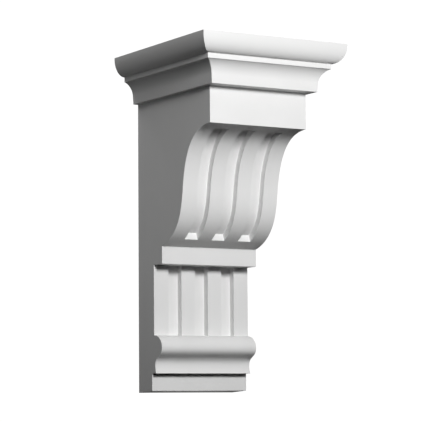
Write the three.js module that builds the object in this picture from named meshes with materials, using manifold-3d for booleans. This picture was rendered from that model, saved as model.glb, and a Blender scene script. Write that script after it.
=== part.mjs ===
import * as THREE from 'three';
import { mergeVertices } from 'three/addons/utils/BufferGeometryUtils.js';
import Module from 'manifold-3d';

const wasm = await Module();
wasm.setup();

// A corbel in millimetres. Its back lies in the plane y = 0 against the wall, the front
// looks towards -y and up is +z, with the middle of the back at the origin.
// A size called Out or Front is measured away from the wall, one called In towards it, and
// heights are measured from the foot.

// Widths across the front: flutes with lands between them, and a wider land at each side
const fluteWidth = 17.5;
const landWidth = 18.9;
const sideLandWidth = 19.8;
const fluteCount = 3;
const pitch = landWidth + fluteWidth;
const bodyWidth = fluteWidth + (fluteCount - 1) * pitch + 2 * sideLandWidth;

// Heights of the stacked members, from the foot up, and how far the underside of the foot
// rises from the wall to the front
const baseHeight = 22.4;
const footRise = 1.9;
const lipHeight = 9.8;
const reverseHeight = 20.5;
const beadHeight = 14.7;
const panelHeight = 83.1;
const bandHeight = 20.8;
const swellHeight = 68.1;
const hollowHeight = 64.4;
const blockHeight = 42.5;

// How far each member stands from the wall, or out from the fluted panel below the band
const panelFront = 37.8;
const baseIn = 5.2;
const lipOut = 4.8;
const neckOut = 2.4;
const beadOut = 18.6;
const bandOut = 20;
const waistOut = 50.4;
const blockOut = 62.4;
const crownOut = 9;

// The long S of the front: how steeply it leans at its waist and at its toe, and how full
// its two bends are
const waistLean = THREE.MathUtils.degToRad(8.6);
const toeSlope = THREE.MathUtils.degToRad(14.3);
const hollowReach = 0.59;
const hollowDrop = 0.67;
const swellDrop = 0.32;
const swellReach = 0.94;
const reverseFullness = 0.56;

// Flutes: those of the panel run from the bead to the band, those of the S stop short of
// both its ends and keep one depth all along it
const panelFluteDepth = 9.1;
const frontFluteDepth = 8.7;
const fluteToeOut = 19.1;
const fluteToeUp = 6.9;
const fluteToeLean = THREE.MathUtils.degToRad(23);
const fluteHeadIn = 21;

// Crown moulding, from its soffit up: face, cove, fillet, ovolo and a plain top edge. Each
// size called Over is how far it stands over the sides of the body, and the same over the
// front.
const crownFaceHeight = 9.1;
const crownFaceOver = 6.3;
const coveStartOver = 7;
const coveHeight = 16.9;
const coveEndOver = 17.4;
const filletHeight = 6;
const filletOver = 18.4;
const ovoloHeight = 20.7;
const ovoloOver = 31.9;
const topEdgeHeight = 2;

// Places that follow from the sizes above
const lipTop = baseHeight + lipHeight;
const beadMiddle = lipTop + reverseHeight;
const panelBottom = beadMiddle + beadHeight;
const bandBottom = panelBottom + panelHeight;
const bandTop = bandBottom + bandHeight;
const waist = bandTop + swellHeight;
const blockBottom = waist + hollowHeight;
const crownBottom = blockBottom + blockHeight;
const bandFront = panelFront + bandOut;
const waistFront = bandFront + waistOut;
const blockFront = waistFront + blockOut;
const crownFront = blockFront + crownOut;
const ovoloTop = crownFaceHeight + coveHeight + filletHeight + ovoloHeight;
const crownHeight = ovoloTop + topEdgeHeight;
const backMiddle = (crownBottom + crownHeight) / 2;

// Pieces of outline per curve, and how far a cutter runs past what it cuts
const curveSteps = 24;
const past = 12;

// A closed outline drawn as (distance from the wall, height), run across the corbel
function acrossPrism(shape, width) {
  const geometry = new THREE.ExtrudeGeometry(shape, {
    depth: width, bevelEnabled: false, curveSegments: curveSteps,
  });
  const away = new THREE.Vector3(0, -1, 0);
  const up = new THREE.Vector3(0, 0, 1);
  const across = new THREE.Vector3(-1, 0, 0);
  geometry.applyMatrix4(new THREE.Matrix4().makeBasis(away, up, across));
  geometry.translate(width / 2, 0, 0);
  return toSolid(geometry);
}

// A closed outline drawn as (x, height), run out from the wall
function outwardPrism(shape, length) {
  const geometry = new THREE.ExtrudeGeometry(shape, {
    depth: length, bevelEnabled: false, curveSegments: curveSteps,
  });
  const across = new THREE.Vector3(1, 0, 0);
  const up = new THREE.Vector3(0, 0, 1);
  const away = new THREE.Vector3(0, -1, 0);
  geometry.applyMatrix4(new THREE.Matrix4().makeBasis(across, up, away));
  return toSolid(geometry);
}

function toSolid(geometry) {
  geometry.deleteAttribute('normal');
  geometry.deleteAttribute('uv');
  const merged = mergeVertices(geometry, 1e-4);
  return new wasm.Manifold(new wasm.Mesh({
    numProp: 3,
    vertProperties: new Float32Array(merged.attributes.position.array),
    triVerts: new Uint32Array(merged.index.array),
  }));
}

function toGeometry(solid) {
  const mesh = solid.getMesh();
  const geometry = new THREE.BufferGeometry();
  geometry.setAttribute('position', new THREE.BufferAttribute(mesh.vertProperties, 3));
  geometry.setIndex(new THREE.BufferAttribute(mesh.triVerts, 1));
  geometry.computeVertexNormals();
  return geometry;
}

// The two bends of the S, from the block down to the band: a hollow and a swell that share
// one slope at the waist
function frontCurves() {
  const top = new THREE.Vector2(blockFront, blockBottom);
  const middle = new THREE.Vector2(waistFront, waist);
  const toe = new THREE.Vector2(bandFront, bandTop);
  const lean = new THREE.Vector2(Math.sin(waistLean), Math.cos(waistLean));
  const slope = new THREE.Vector2(Math.cos(toeSlope), Math.sin(toeSlope));
  const hollow = new THREE.CubicBezierCurve(
    top,
    new THREE.Vector2(blockFront - hollowReach * blockOut, blockBottom),
    middle.clone().addScaledVector(lean, hollowDrop * hollowHeight),
    middle,
  );
  const swell = new THREE.CubicBezierCurve(
    middle,
    middle.clone().addScaledVector(lean, -swellDrop * swellHeight),
    toe.clone().addScaledVector(slope, swellReach * waistOut),
    toe,
  );
  return [hollow, swell];
}

// The side view of everything below the crown, from the foot of the back round by the front
function bodyOutline() {
  const shape = new THREE.Shape();
  const neckFront = panelFront + neckOut;
  const beadFront = panelFront + beadOut;
  const fullness = reverseFullness * reverseHeight;
  shape.moveTo(0, 0);
  shape.lineTo(panelFront - baseIn, footRise);
  shape.lineTo(panelFront - baseIn, baseHeight);
  shape.lineTo(panelFront + lipOut, baseHeight);
  shape.quadraticCurveTo(neckFront, baseHeight + lipHeight / 2, neckFront, lipTop);
  shape.bezierCurveTo(
    neckFront, lipTop + fullness, beadFront, beadMiddle - fullness, beadFront, beadMiddle,
  );
  shape.absellipse(panelFront, beadMiddle, beadOut, beadHeight, 0, Math.PI / 2, false);
  shape.lineTo(panelFront, bandBottom);
  shape.lineTo(bandFront, bandBottom);
  shape.lineTo(bandFront, bandTop);
  const [hollow, swell] = frontCurves();
  shape.bezierCurveTo(swell.v2.x, swell.v2.y, swell.v1.x, swell.v1.y, swell.v0.x, swell.v0.y);
  shape.bezierCurveTo(
    hollow.v2.x, hollow.v2.y, hollow.v1.x, hollow.v1.y, hollow.v0.x, hollow.v0.y,
  );
  shape.lineTo(blockFront, crownBottom + crownFaceHeight);
  shape.lineTo(0, crownBottom + crownFaceHeight);
  shape.closePath();
  return shape;
}

// The crown's moulding as points (stand over the body, height above the soffit), soffit up
function crownMoulding() {
  const coveOut = coveEndOver - coveStartOver;
  const coveRadius = (coveOut ** 2 + coveHeight ** 2) / (2 * coveOut);
  const coveTop = crownFaceHeight + coveHeight;
  const coveTurn = Math.atan2(coveHeight, coveRadius - coveOut);
  const filletTop = coveTop + filletHeight;
  const path = new THREE.Path();
  path.moveTo(crownFaceOver, 0);
  path.lineTo(coveStartOver, crownFaceHeight);
  path.absarc(
    coveStartOver + coveRadius, crownFaceHeight, coveRadius, Math.PI, Math.PI - coveTurn, true,
  );
  path.lineTo(filletOver, coveTop);
  path.lineTo(filletOver, filletTop);
  path.absellipse(
    filletOver, ovoloTop, ovoloOver - filletOver, ovoloHeight, -Math.PI / 2, 0, false,
  );
  path.lineTo(ovoloOver, crownHeight);
  return path.getPoints(curveSteps / 2);
}

// The crown is what the moulding run along the front and the one run along both sides have
// in common, so the two meet in true mitres at the corners
function crown() {
  const moulding = crownMoulding();
  const half = bodyWidth / 2;
  const frontView = [
    ...moulding.map((p) => new THREE.Vector2(half + p.x, crownBottom + p.y)),
    ...moulding.map((p) => new THREE.Vector2(-half - p.x, crownBottom + p.y)).reverse(),
  ];
  const sideView = [
    new THREE.Vector2(0, crownBottom + crownHeight),
    new THREE.Vector2(0, crownBottom),
    ...moulding.map((p) => new THREE.Vector2(crownFront + p.x, crownBottom + p.y)),
  ];
  const sides = outwardPrism(new THREE.Shape(frontView), crownFront + ovoloOver + past);
  const front = acrossPrism(new THREE.Shape(sideView), bodyWidth + 2 * (ovoloOver + past));
  return sides.intersect(front);
}

// One flute of the lower panel, open at the front and stopped by the bead and the band
function panelFlute() {
  const shape = new THREE.Shape();
  shape.moveTo(panelFront - panelFluteDepth, panelBottom);
  shape.lineTo(panelFront + past, panelBottom);
  shape.lineTo(panelFront + past, bandBottom);
  shape.lineTo(panelFront - panelFluteDepth, bandBottom);
  shape.closePath();
  return acrossPrism(shape, fluteWidth);
}

// A point of a curve that runs down the front, moved square to it into the corbel
function sunkPoint(curve, share) {
  const along = curve.getTangent(share);
  const inwards = new THREE.Vector2(along.y, -along.x);
  return curve.getPoint(share).addScaledVector(inwards, frontFluteDepth);
}

// One flute of the S: a ribbon between the S sunk to the floor and the S moved out, stopped
// by a leaning toe and an upright head
function frontFlute() {
  const [hollow, swell] = frontCurves();
  const line = [...hollow.getPoints(curveSteps), ...swell.getPoints(curveSteps).slice(1)];
  const floor = line.map((_, i) => (
    i < curveSteps
      ? sunkPoint(hollow, i / curveSteps)
      : sunkPoint(swell, i / curveSteps - 1)
  ));
  const mouth = line.map((p) => new THREE.Vector2(p.x + past, p.y - past)).reverse();
  const ribbon = acrossPrism(new THREE.Shape([...floor, ...mouth]), fluteWidth);

  const toe = new THREE.Vector2(bandFront + fluteToeOut, bandTop + fluteToeUp);
  const lean = new THREE.Vector2(-Math.sin(fluteToeLean), Math.cos(fluteToeLean));
  const toeIn = toe.clone().addScaledVector(lean, 2 * past);
  const toeOut = toe.clone().addScaledVector(lean, -2 * past);
  const headFront = blockFront - fluteHeadIn;
  const roof = blockBottom + frontFluteDepth + past;
  const stops = new THREE.Shape([
    toeOut,
    new THREE.Vector2(headFront, toeOut.y),
    new THREE.Vector2(headFront, roof),
    new THREE.Vector2(toeIn.x, roof),
    toeIn,
  ]);
  return ribbon.intersect(acrossPrism(stops, fluteWidth + 2 * past));
}

// The whole corbel, cast in one
function corbel() {
  let solid = acrossPrism(bodyOutline(), bodyWidth).add(crown());
  const cutter = panelFlute().add(frontFlute());
  for (let i = 0; i < fluteCount; i += 1) {
    solid = solid.subtract(cutter.translate((i - (fluteCount - 1) / 2) * pitch, 0, 0));
  }
  return toGeometry(solid);
}

const whitePrimer = new THREE.MeshStandardMaterial({
  color: 0xf2f2f0, roughness: 0.6, metalness: 0, flatShading: true,
});

const part = new THREE.Group();
const mesh = new THREE.Mesh(corbel(), whitePrimer);
mesh.name = 'corbel';
mesh.position.z = -backMiddle;
part.add(mesh);

export default part;
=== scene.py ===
import math

import bpy
from mathutils import Matrix, Vector

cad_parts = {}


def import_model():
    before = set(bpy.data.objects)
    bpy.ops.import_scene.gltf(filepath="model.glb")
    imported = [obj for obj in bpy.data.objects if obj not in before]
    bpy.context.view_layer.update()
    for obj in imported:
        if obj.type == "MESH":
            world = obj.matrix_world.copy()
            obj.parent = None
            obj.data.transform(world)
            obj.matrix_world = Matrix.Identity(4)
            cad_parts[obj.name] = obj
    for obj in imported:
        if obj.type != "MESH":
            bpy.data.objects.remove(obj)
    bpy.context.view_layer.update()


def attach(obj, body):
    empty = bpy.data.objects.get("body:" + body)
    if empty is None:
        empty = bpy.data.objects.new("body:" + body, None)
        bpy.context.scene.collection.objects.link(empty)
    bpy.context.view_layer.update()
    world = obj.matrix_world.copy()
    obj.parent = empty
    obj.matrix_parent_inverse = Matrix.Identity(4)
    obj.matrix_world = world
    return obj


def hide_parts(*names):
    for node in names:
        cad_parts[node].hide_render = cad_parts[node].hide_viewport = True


mm = 0.001

# Widths across the front: flutes with lands between them, and a wider land at each side
FLUTE_WIDTH = 17.5 * mm
LAND_WIDTH = 18.9 * mm
SIDE_LAND_WIDTH = 19.8 * mm
FLUTE_COUNT = 3
PITCH = LAND_WIDTH + FLUTE_WIDTH
BODY_WIDTH = FLUTE_WIDTH + (FLUTE_COUNT - 1) * PITCH + 2 * SIDE_LAND_WIDTH

# Heights from the foot up, before the whole is moved down to put the middle of the back at 0
FOOT_RISE = 1.9 * mm
BASE_TOP = 22.4 * mm
LIP_TOP = BASE_TOP + 9.8 * mm
BEAD_MIDDLE = LIP_TOP + 20.5 * mm
BEAD_HEIGHT = 14.7 * mm
PANEL_BOTTOM = BEAD_MIDDLE + BEAD_HEIGHT
BAND_BOTTOM = PANEL_BOTTOM + 83.1 * mm
BAND_TOP = BAND_BOTTOM + 20.8 * mm
SWELL_HEIGHT = 68.1 * mm
WAIST = BAND_TOP + SWELL_HEIGHT
HOLLOW_HEIGHT = 64.4 * mm
BLOCK_BOTTOM = WAIST + HOLLOW_HEIGHT
CROWN_BOTTOM = BLOCK_BOTTOM + 42.5 * mm

# Distances out from the wall
PANEL_FRONT = 37.8 * mm
BASE_FRONT = PANEL_FRONT - 5.2 * mm
LIP_FRONT = PANEL_FRONT + 4.8 * mm
NECK_FRONT = PANEL_FRONT + 2.4 * mm
BEAD_OUT = 18.6 * mm
BEAD_FRONT = PANEL_FRONT + BEAD_OUT
BAND_FRONT = PANEL_FRONT + 20 * mm
WAIST_FRONT = BAND_FRONT + 50.4 * mm
BLOCK_FRONT = WAIST_FRONT + 62.4 * mm
CROWN_FRONT = BLOCK_FRONT + 9 * mm

# Run of the curves: slopes, and how far each end pulls its curve along, as shares of its reach
S_FOOT_SLOPE = math.radians(14.3)
WAIST_LEAN = math.radians(8.6)
S_FOOT_PULL = 0.94
BELOW_WAIST_PULL = 0.32
ABOVE_WAIST_PULL = 0.67
S_TOP_PULL = 0.59
REVERSE_FULLNESS = 0.56
LIP_PULL = 2 / 3

# Crown moulding from its soffit up; each OVER is how far it stands over the body
FACE_HEIGHT = 9.1 * mm
FACE_OVER = 6.3 * mm
COVE_START_OVER = 7 * mm
COVE_HEIGHT = 16.9 * mm
COVE_END_OVER = 17.4 * mm
FILLET_HEIGHT = 6 * mm
FILLET_OVER = 18.4 * mm
OVOLO_HEIGHT = 20.7 * mm
OVOLO_OVER = 31.9 * mm
TOP_HEIGHT = 2 * mm
CROWN_HEIGHT = FACE_HEIGHT + COVE_HEIGHT + FILLET_HEIGHT + OVOLO_HEIGHT + TOP_HEIGHT
BACK_MIDDLE = (CROWN_BOTTOM + CROWN_HEIGHT) / 2

# Flutes, and how far their cutters reach past the surface
PANEL_FLUTE_DEPTH = 9.1 * mm
FRONT_FLUTE_DEPTH = 8.7 * mm
TOE_FRONT = BAND_FRONT + 19.1 * mm
TOE_HEIGHT = BAND_TOP + 6.9 * mm
TOE_LEAN = math.radians(23)
HEAD_FRONT = BLOCK_FRONT - 21 * mm
PAST = 12 * mm

# Points along each curve; bead and S have theirs twice, below and above their middle
LIP_STEPS = 8
BEAD_STEPS = 22
S_STEPS = 40
COVE_STEPS = 14
OVOLO_STEPS = 24

# Softness of the arrises, what counts as one, and what is shaded as one smooth curve
ARRIS = 0.3 * mm
ARRIS_STEPS = 3
SHARP_FROM = math.radians(28)
SMOOTH_UP_TO = math.radians(40)

# Points closer than this are one point, and points this near to the wall are on the back
SAME_POINT = 0.002 * mm
ON_THE_BACK = 0.01 * mm

# Colours, and how deep in from the back or the top a coat counts as theirs
THICK_PRIMER = (0.84, 0.84, 0.838, 1)
THIN_PRIMER = (0.79, 0.79, 0.785, 1)
PRIMED_BACK = (0.8, 0.795, 0.775, 1)
BARE_BACK = (0.66, 0.655, 0.63, 1)
# Inside a pore: bare foam, painted darker still as painted shade in the hole
PORE_FOAM_AND_SHADE = (0.5, 0.49, 0.46, 1)
FLOOR_PAINT = (0.2, 0.2, 0.2, 1)
WHITE = (1, 1, 1, 1)
COAT_DEPTH = 0.1 * mm

# Studio: the floor, the place that the lights point at, and the camera
FLOOR_BELOW = 2.6
FLOOR_RADIUS = 40
LIT_PLACE = Vector((0, -0.1, 0))
CAMERA_PLACE = Vector((-1202.72, -2090.61, -212.16)) * mm
CAMERA_YAW = math.radians(30.657)
CAMERA_PITCH = math.radians(5.491)
CAMERA_ROLL = math.radians(-0.417)
CAMERA_LENS = 169.65
CAMERA_SENSOR = 36


# Outlines


def bezier(a, b, c, d, steps):
    """Points from a to d along a curve pulled towards b and c; a itself is left out."""
    points = []
    for i in range(1, steps + 1):
        t = i / steps
        s = 1 - t
        points.append(a * s ** 3 + b * (3 * s * s * t) + c * (3 * s * t * t) + d * t ** 3)
    return points


def arc(middle, reach, start, end, steps):
    """Points on an upright ellipse from one angle to another; the first is left out."""
    points = []
    for i in range(1, steps + 1):
        angle = math.radians(start + (end - start) * i / steps)
        points.append(middle + Vector((reach[0] * math.cos(angle), reach[1] * math.sin(angle))))
    return points


def s_curve():
    """The long S of the front as (distance from the wall, height), from the band up."""
    foot = Vector((BAND_FRONT, BAND_TOP))
    waist = Vector((WAIST_FRONT, WAIST))
    top = Vector((BLOCK_FRONT, BLOCK_BOTTOM))
    slope = Vector((math.cos(S_FOOT_SLOPE), math.sin(S_FOOT_SLOPE)))
    lean = Vector((math.sin(WAIST_LEAN), math.cos(WAIST_LEAN)))
    swell = bezier(
        foot,
        foot + slope * S_FOOT_PULL * (WAIST_FRONT - BAND_FRONT),
        waist - lean * BELOW_WAIST_PULL * SWELL_HEIGHT,
        waist,
        S_STEPS,
    )
    hollow = bezier(
        waist,
        waist + lean * ABOVE_WAIST_PULL * HOLLOW_HEIGHT,
        top - Vector((S_TOP_PULL * (BLOCK_FRONT - WAIST_FRONT), 0)),
        top,
        S_STEPS,
    )
    return [foot] + swell + hollow


def lip_and_bead():
    """The small curve of the lip, the reverse curve over it, and the bead's upper half."""
    lip = Vector((LIP_FRONT, BASE_TOP))
    neck = Vector((NECK_FRONT, LIP_TOP))
    bead = Vector((BEAD_FRONT, BEAD_MIDDLE))
    corner = Vector((NECK_FRONT, (BASE_TOP + LIP_TOP) / 2))
    fullness = Vector((0, REVERSE_FULLNESS * (BEAD_MIDDLE - LIP_TOP)))
    points = [lip]
    points += bezier(
        lip, lip.lerp(corner, LIP_PULL), neck.lerp(corner, LIP_PULL), neck, LIP_STEPS)
    points += bezier(neck, neck + fullness, bead - fullness, bead, BEAD_STEPS)
    middle = Vector((PANEL_FRONT, BEAD_MIDDLE))
    return points + arc(middle, (BEAD_OUT, BEAD_HEIGHT), 0, 90, BEAD_STEPS)


def body_outline():
    """The side view of all that is below the crown, from the foot of the back round."""
    base = [Vector((0, 0)), Vector((BASE_FRONT, FOOT_RISE)), Vector((BASE_FRONT, BASE_TOP))]
    panel = [Vector((PANEL_FRONT, BAND_BOTTOM)), Vector((BAND_FRONT, BAND_BOTTOM))]
    top = CROWN_BOTTOM + FACE_HEIGHT
    block = [Vector((BLOCK_FRONT, top)), Vector((0, top))]
    return base + lip_and_bead() + panel + s_curve() + block


def crown_levels():
    """The crown's moulding as (stand over the body, height above the soffit), soffit up."""
    out = COVE_END_OVER - COVE_START_OVER
    radius = (out ** 2 + COVE_HEIGHT ** 2) / (2 * out)
    turn = math.degrees(math.atan2(COVE_HEIGHT, radius - out))
    cove_middle = Vector((COVE_START_OVER + radius, FACE_HEIGHT))
    cove_top = FACE_HEIGHT + COVE_HEIGHT
    fillet_top = cove_top + FILLET_HEIGHT
    ovolo_middle = Vector((FILLET_OVER, fillet_top + OVOLO_HEIGHT))
    ovolo_reach = (OVOLO_OVER - FILLET_OVER, OVOLO_HEIGHT)
    levels = [Vector((FACE_OVER, 0)), Vector((COVE_START_OVER, FACE_HEIGHT))]
    levels += arc(cove_middle, (radius, radius), 180, 180 - turn, COVE_STEPS)
    levels += [Vector((FILLET_OVER, cove_top)), Vector((FILLET_OVER, fillet_top))]
    levels += arc(ovolo_middle, ovolo_reach, -90, 0, OVOLO_STEPS)
    return levels + [Vector((OVOLO_OVER, CROWN_HEIGHT))]


# Shaping


def choose(piece):
    """This piece alone is selected, and is the one that the next step works on."""
    bpy.ops.object.select_all(action="DESELECT")
    piece.select_set(True)
    bpy.context.view_layer.objects.active = piece


def set_its_place():
    """What was done by moving, turning or scaling the piece goes into its mesh."""
    bpy.ops.object.transform_apply(location=True, rotation=True, scale=True)


def tidy_mesh():
    """In edit mode: doubles merged and every face turned outwards."""
    bpy.ops.mesh.select_all(action="SELECT")
    bpy.ops.mesh.remove_doubles(threshold=SAME_POINT)
    bpy.ops.mesh.normals_make_consistent(inside=False)


def across(name, outline, width):
    """A side view drawn point by point, filled, and drawn out across the corbel. It starts
    as a tiny plane that is merged to the first point."""
    bpy.ops.object.select_all(action="DESELECT")
    first = outline[0]
    bpy.ops.mesh.primitive_plane_add(size=mm, location=(-width / 2, -first.x, first.y))
    piece = bpy.context.object
    piece.name = piece.data.name = name
    set_its_place()
    bpy.ops.object.mode_set(mode="EDIT")
    bpy.ops.mesh.select_mode(type="VERT")
    bpy.ops.mesh.merge(type="CENTER")
    for here, there in zip(outline, outline[1:]):
        step = there - here
        bpy.ops.mesh.extrude_region_move(TRANSFORM_OT_translate={"value": (0, -step.x, step.y)})
    bpy.ops.mesh.select_all(action="SELECT")
    bpy.ops.mesh.edge_face_add()
    bpy.ops.mesh.extrude_region_move(TRANSFORM_OT_translate={"value": (width, 0, 0)})
    tidy_mesh()
    bpy.ops.object.mode_set(mode="OBJECT")
    return piece


def join_with(piece, other, operation):
    """The other piece is added to this one or cut from it, and then goes."""
    choose(piece)
    change = piece.modifiers.new(operation.lower(), "BOOLEAN")
    change.operation = operation
    change.solver = "EXACT"
    change.object = other
    bpy.ops.object.modifier_apply(modifier=change.name)
    bpy.data.objects.remove(other)


def crown():
    """Run up level by level on all four sides, then cut off flat where it meets the wall."""
    half = BODY_WIDTH / 2
    levels = crown_levels()
    sizes = [(half + p.x, CROWN_FRONT + p.x, CROWN_BOTTOM + p.y) for p in levels]
    bpy.ops.object.select_all(action="DESELECT")
    bpy.ops.mesh.primitive_plane_add(size=2, location=(0, 0, sizes[0][2]))
    piece = bpy.context.object
    piece.name = piece.data.name = "crown"
    piece.scale = (sizes[0][0], sizes[0][1], 1)
    set_its_place()
    bpy.ops.object.mode_set(mode="EDIT")
    bpy.ops.mesh.select_mode(type="FACE")
    bpy.ops.mesh.select_all(action="SELECT")
    for here, there in zip(sizes, sizes[1:]):
        rise = (0, 0, there[2] - here[2])
        growth = (there[0] / here[0], there[1] / here[1], 1)
        bpy.ops.mesh.extrude_region_move(TRANSFORM_OT_translate={"value": rise})
        bpy.ops.transform.resize(value=growth, center_override=(0, 0, there[2]))
    tidy_mesh()
    bpy.ops.mesh.bisect(plane_co=(0, 0, 0), plane_no=(0, 1, 0), use_fill=True, clear_outer=True)
    bpy.ops.object.mode_set(mode="OBJECT")
    return piece


def flute_of_the_panel():
    """What is cut out of the panel, from the bead up to the band."""
    back = PANEL_FRONT - PANEL_FLUTE_DEPTH
    front = PANEL_FRONT + PAST
    corners = [
        Vector((back, PANEL_BOTTOM)),
        Vector((front, PANEL_BOTTOM)),
        Vector((front, BAND_BOTTOM)),
        Vector((back, BAND_BOTTOM)),
    ]
    return across("panel_flute", corners, FLUTE_WIDTH)


def flute_of_the_front():
    """What is cut out of the S: its floor keeps the same depth all along the S, and it
    stops at a leaning toe and an upright head."""
    line = s_curve()
    befores = line[:1] + line
    afters = line[1:] + line[-1:]
    floor = []
    for before, here, after in zip(befores, line, afters):
        along = (after - before).normalized()
        floor.append(here + Vector((-along.y, along.x)) * FRONT_FLUTE_DEPTH)
    mouth = [p + Vector((PAST, -PAST)) for p in reversed(line)]
    piece = across("front_flute", floor + mouth, FLUTE_WIDTH)
    toe = ((0, -TOE_FRONT, TOE_HEIGHT), (0, math.cos(TOE_LEAN), -math.sin(TOE_LEAN)))
    head = ((0, -HEAD_FRONT, 0), (0, -1, 0))
    bpy.ops.object.mode_set(mode="EDIT")
    for place, normal in (toe, head):
        bpy.ops.mesh.select_all(action="SELECT")
        bpy.ops.mesh.bisect(plane_co=place, plane_no=normal, use_fill=True, clear_outer=True)
    tidy_mesh()
    bpy.ops.object.mode_set(mode="OBJECT")
    return piece


def copies_across(piece):
    """The flute cutter, copied side by side at the pitch of the flutes."""
    copies = []
    for i in range(FLUTE_COUNT):
        choose(piece)
        bpy.ops.object.duplicate(linked=False)
        copy = bpy.context.object
        copy.location.x = (i - (FLUTE_COUNT - 1) / 2) * PITCH
        set_its_place()
        copies.append(copy)
    bpy.data.objects.remove(piece)
    return copies


def leave_out_the_back(piece):
    """In edit mode: the edges of the back are left out of what is selected. A face that
    stays selected would bring all its edges back, so the faces are let go too."""
    bpy.ops.object.mode_set(mode="OBJECT")
    points = piece.data.vertices
    for face in piece.data.polygons:
        face.select = False
    for edge in piece.data.edges:
        if all(points[i].co.y > -ON_THE_BACK for i in edge.vertices):
            edge.select = False
    bpy.ops.object.mode_set(mode="EDIT")


def soften_the_arrises(piece):
    """Every arris is rounded as it leaves the mould. The back was struck off level, so its
    edges stay sharp."""
    bpy.ops.object.mode_set(mode="EDIT")
    tidy_mesh()
    bpy.ops.mesh.select_mode(type="EDGE")
    bpy.ops.mesh.select_all(action="DESELECT")
    bpy.ops.mesh.edges_select_sharp(sharpness=SHARP_FROM)
    leave_out_the_back(piece)
    bpy.ops.mesh.bevel(offset=ARRIS, segments=ARRIS_STEPS, profile=0.5, affect="EDGES",
                       clamp_overlap=False, miter_outer="SHARP", miter_inner="SHARP")
    tidy_mesh()
    bpy.ops.object.mode_set(mode="OBJECT")


def shade(piece):
    """Curves are shaded smooth, and what is flat stays flat right up to its arrises."""
    bpy.ops.object.shade_smooth_by_angle(angle=SMOOTH_UP_TO)
    flats = piece.modifiers.new("flats_stay_flat", "WEIGHTED_NORMAL")
    flats.weight = 100
    flats.keep_sharp = True
    bpy.ops.object.modifier_apply(modifier=flats.name)


def corbel():
    """Body and crown in one, fluted, with the middle of its back at the origin."""
    piece = across("corbel_finished", body_outline(), BODY_WIDTH)
    join_with(piece, crown(), "UNION")
    for cutter in copies_across(flute_of_the_panel()) + copies_across(flute_of_the_front()):
        join_with(piece, cutter, "DIFFERENCE")
    soften_the_arrises(piece)
    piece.location.z = -BACK_MIDDLE
    set_its_place()
    shade(piece)
    return piece


# Finish


class Wire:
    """A node's output, so that shader maths reads as plain arithmetic."""

    def __init__(self, tree, socket):
        self.tree = tree
        self.socket = socket

    def maths(self, operation, *values):
        return add_node(self.tree, "ShaderNodeMath", {"operation": operation},
                        dict(enumerate(values)))

    def __add__(self, other):
        return self.maths("ADD", self, other)

    def __radd__(self, other):
        return self.maths("ADD", other, self)

    def __sub__(self, other):
        return self.maths("SUBTRACT", self, other)

    def __rsub__(self, other):
        return self.maths("SUBTRACT", other, self)

    def __mul__(self, other):
        return self.maths("MULTIPLY", self, other)

    def __rmul__(self, other):
        return self.maths("MULTIPLY", other, self)

    def __gt__(self, other):
        return self.maths("GREATER_THAN", self, other)

    def __lt__(self, other):
        return self.maths("LESS_THAN", self, other)


def add_node(tree, kind, settings=None, inputs=None, output=0):
    """A node of a kind, with its settings, then the values or links of its sockets. It
    gives back the output that is asked for, where the kind has outputs."""
    node = tree.nodes.new(kind)
    for name, value in (settings or {}).items():
        setattr(node, name, value)
    for key, value in (inputs or {}).items():
        if isinstance(value, Wire):
            tree.links.new(value.socket, node.inputs[key])
        else:
            node.inputs[key].default_value = value
    return Wire(tree, node.outputs[output]) if node.outputs else None


def empty_tree(owner):
    """The node tree of a material or a world, with nothing in it yet."""
    owner.use_nodes = True
    owner.node_tree.nodes.clear()
    return owner.node_tree


def noise(tree, place, scale, detail, roughness):
    return add_node(tree, "ShaderNodeTexNoise", inputs={
        "Vector": place, "Scale": scale, "Detail": detail, "Roughness": roughness})


def mix_colours(tree, share, first, second):
    """The first colour where the share is 0, the second where it is 1."""
    return add_node(tree, "ShaderNodeMix", {"data_type": "RGBA"}, {
        0: share, 6: first, 7: second}, output=2)


def white_primer():
    """Sprayed white primer: even and nearly matt, with a fine tooth and a faint ripple from
    the mould. The back is where the casting was struck off level: it has the marks of the
    board drawn down it, open pores, and no more than a thin coat. The top, which the shelf
    covers, has a dry coat."""
    material = bpy.data.materials.new("white_primer")
    tree = empty_tree(material)
    place = add_node(tree, "ShaderNodeTexCoord", output="Object")
    inwards = add_node(tree, "ShaderNodeSeparateXYZ", inputs={0: place}, output="Y")
    upwards = add_node(tree, "ShaderNodeSeparateXYZ", inputs={0: place}, output="Z")
    back = inwards > -COAT_DEPTH
    top = upwards > BACK_MIDDLE - COAT_DEPTH

    cloud = noise(tree, place, 28, 3, 0.55)
    tooth = noise(tree, place, 1400, 2, 0.6)
    ripple = noise(tree, place, 60, 1, 0.4)
    drawn_down = add_node(tree, "ShaderNodeVectorMath", {"operation": "MULTIPLY"}, {
        0: place, 1: (1, 1, 0.04)})
    strokes = noise(tree, drawn_down, 420, 4, 0.6)
    from_cell_middle = add_node(tree, "ShaderNodeTexVoronoi", inputs={
        "Vector": place, "Scale": 240, "Randomness": 1})
    open_pore = back * (from_cell_middle < 0.16)

    sprayed = mix_colours(tree, cloud, THIN_PRIMER, THICK_PRIMER)
    struck_off = mix_colours(tree, strokes, BARE_BACK, PRIMED_BACK)
    coat = mix_colours(tree, back, sprayed, struck_off)
    # Pores on the back are painted darker than the bare foam around them: painted shade inside
    # each hole
    colour = mix_colours(tree, open_pore, coat, PORE_FOAM_AND_SHADE)

    front_height = tooth * 0.012 + ripple * 0.05
    back_height = strokes * 0.12 - open_pore * 0.3
    height = front_height * (1 - back) + back_height * back
    bump = add_node(tree, "ShaderNodeBump", inputs={
        "Strength": 0.5, "Distance": 1 * mm, "Height": height})
    roughness = cloud * 0.12 + 0.5 + back * 0.25 + top * 0.35
    shader = add_node(tree, "ShaderNodeBsdfPrincipled", inputs={
        "Base Color": colour, "Roughness": roughness, "Normal": bump,
        "Specular IOR Level": 0.35})
    add_node(tree, "ShaderNodeOutputMaterial", inputs={"Surface": shader})
    return material


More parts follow.
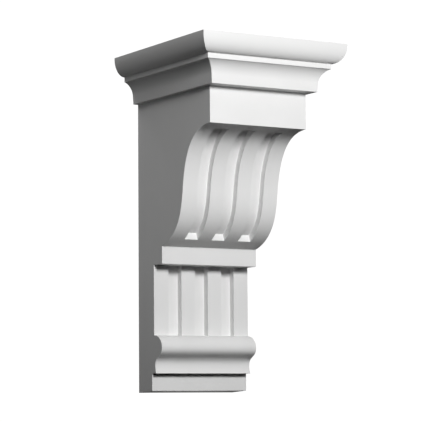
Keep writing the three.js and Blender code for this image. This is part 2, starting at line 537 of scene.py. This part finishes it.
def pale_paint():
    """The floor's paint, pale by itself. It isn't counted as a light."""
    material = bpy.data.materials.new("pale_floor")
    tree = empty_tree(material)
    shader = add_node(tree, "ShaderNodeBsdfPrincipled", inputs={
        "Base Color": FLOOR_PAINT, "Roughness": 0.9, "Emission Color": WHITE,
        "Emission Strength": 0.66})
    add_node(tree, "ShaderNodeOutputMaterial", inputs={"Surface": shader})
    material.cycles.emission_sampling = "NONE"
    return material


# Studio


def pale_floor():
    """A plain pale studio floor, as far below the corbel as in a room, so that it can be
    looked at from underneath too. It throws no light on the corbel."""
    bpy.ops.object.select_all(action="DESELECT")
    bpy.ops.mesh.primitive_circle_add(vertices=96, radius=FLOOR_RADIUS, fill_type="NGON",
                                      location=(0, 0, -FLOOR_BELOW))
    floor = bpy.context.object
    floor.name = "floor"
    floor.data.materials.append(pale_paint())
    floor.visible_diffuse = False
    floor.visible_glossy = False


def camera():
    """The photograph's view: from the left, a little below the middle, looking slightly up."""
    right = Vector((math.cos(CAMERA_YAW), -math.sin(CAMERA_YAW), 0))
    ahead = Vector((math.sin(CAMERA_YAW), math.cos(CAMERA_YAW), 0))
    up = Vector((0, 0, 1))
    look = ahead * math.cos(CAMERA_PITCH) + up * math.sin(CAMERA_PITCH)
    top = up * math.cos(CAMERA_PITCH) - ahead * math.sin(CAMERA_PITCH)
    x = right * math.cos(CAMERA_ROLL) + top * math.sin(CAMERA_ROLL)
    y = top * math.cos(CAMERA_ROLL) - right * math.sin(CAMERA_ROLL)
    data = bpy.data.cameras.new("camera")
    data.sensor_width = CAMERA_SENSOR
    data.lens = CAMERA_LENS
    data.clip_start = 0.05
    data.clip_end = 100
    seen_from = bpy.data.objects.new("camera", data)
    bpy.context.scene.collection.objects.link(seen_from)
    turn = Matrix((x, y, -look)).transposed().to_4x4()
    turn.translation = CAMERA_PLACE
    seen_from.matrix_world = turn
    bpy.context.scene.camera = seen_from


def soft_box(name, length, width, watts):
    """A soft box that the camera doesn't see, still to be placed."""
    data = bpy.data.lights.new(name, "AREA")
    data.shape = "RECTANGLE"
    data.size = length
    data.size_y = width
    data.energy = watts
    light = bpy.data.objects.new(name, data)
    bpy.context.scene.collection.objects.link(light)
    light.visible_camera = False
    return light


def soft_light(name, azimuth, elevation, distance, size, watts):
    """A square soft box aimed at the corbel. Azimuth 0 is straight in front, and grows to
    the left as the corbel is faced."""
    light = soft_box(name, size, size, watts)
    turn = math.radians(azimuth)
    rise = math.radians(elevation)
    away = Vector((
        -math.sin(turn) * math.cos(rise),
        -math.cos(turn) * math.cos(rise),
        math.sin(rise),
    ))
    light.location = LIT_PLACE + away * distance
    light.rotation_euler = away.to_track_quat("Z", "Y").to_euler()


def strip_under_the_foot(watts):
    """A strip that shines straight up at the underside of the foot. It is close below it and
    near the wall, so that the foot itself keeps its light off the lip and the bead."""
    light = soft_box("under_the_foot", 120 * mm, 10 * mm, watts)
    light.location = (0, -7 * mm, -BACK_MIDDLE - 30 * mm)
    light.rotation_euler = (math.pi, 0, 0)


def white_surround():
    """White behind everything, which is seen but gives no light."""
    world = bpy.data.worlds.new("studio")
    bpy.context.scene.world = world
    tree = empty_tree(world)
    seen = add_node(tree, "ShaderNodeLightPath", output="Is Camera Ray")
    white = add_node(tree, "ShaderNodeBackground", inputs={
        "Color": WHITE, "Strength": seen * 1.05})
    add_node(tree, "ShaderNodeOutputWorld", inputs={"Surface": white})


def lights():
    """Two soft boxes on the left of the front, three small ones close by that open up the
    shaded sides, three that light the right side, the back and the top, and a strip under
    the foot. The one behind is narrower than the corbel, so that it doesn't graze the sides."""
    soft_light("key", azimuth=13, elevation=18, distance=1.3, size=0.26, watts=10.4)
    soft_light("low_key", azimuth=16, elevation=14, distance=1.3, size=0.26, watts=4.9)
    soft_light("over_the_back", azimuth=150, elevation=60, distance=0.5, size=0.2, watts=0.38)
    soft_light("right_fill", azimuth=-60, elevation=10, distance=0.5, size=0.2, watts=0.284)
    soft_light("left_fill", azimuth=130, elevation=0, distance=0.5, size=0.2, watts=0.125)
    soft_light("right_side", azimuth=-105, elevation=15, distance=1.2, size=0.5, watts=4.8)
    soft_light("behind", azimuth=180, elevation=5, distance=1.6, size=0.12, watts=11)
    soft_light("above", azimuth=0, elevation=89, distance=1.2, size=0.2, watts=2)
    strip_under_the_foot(watts=0.006)


def main():
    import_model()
    camera()
    piece = corbel()
    piece.data.materials.append(white_primer())
    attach(piece, "root")
    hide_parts("corbel")
    pale_floor()
    white_surround()
    lights()
    bpy.context.scene.view_settings.view_transform = "Standard"
    bpy.context.scene.view_settings.look = "None"


main()
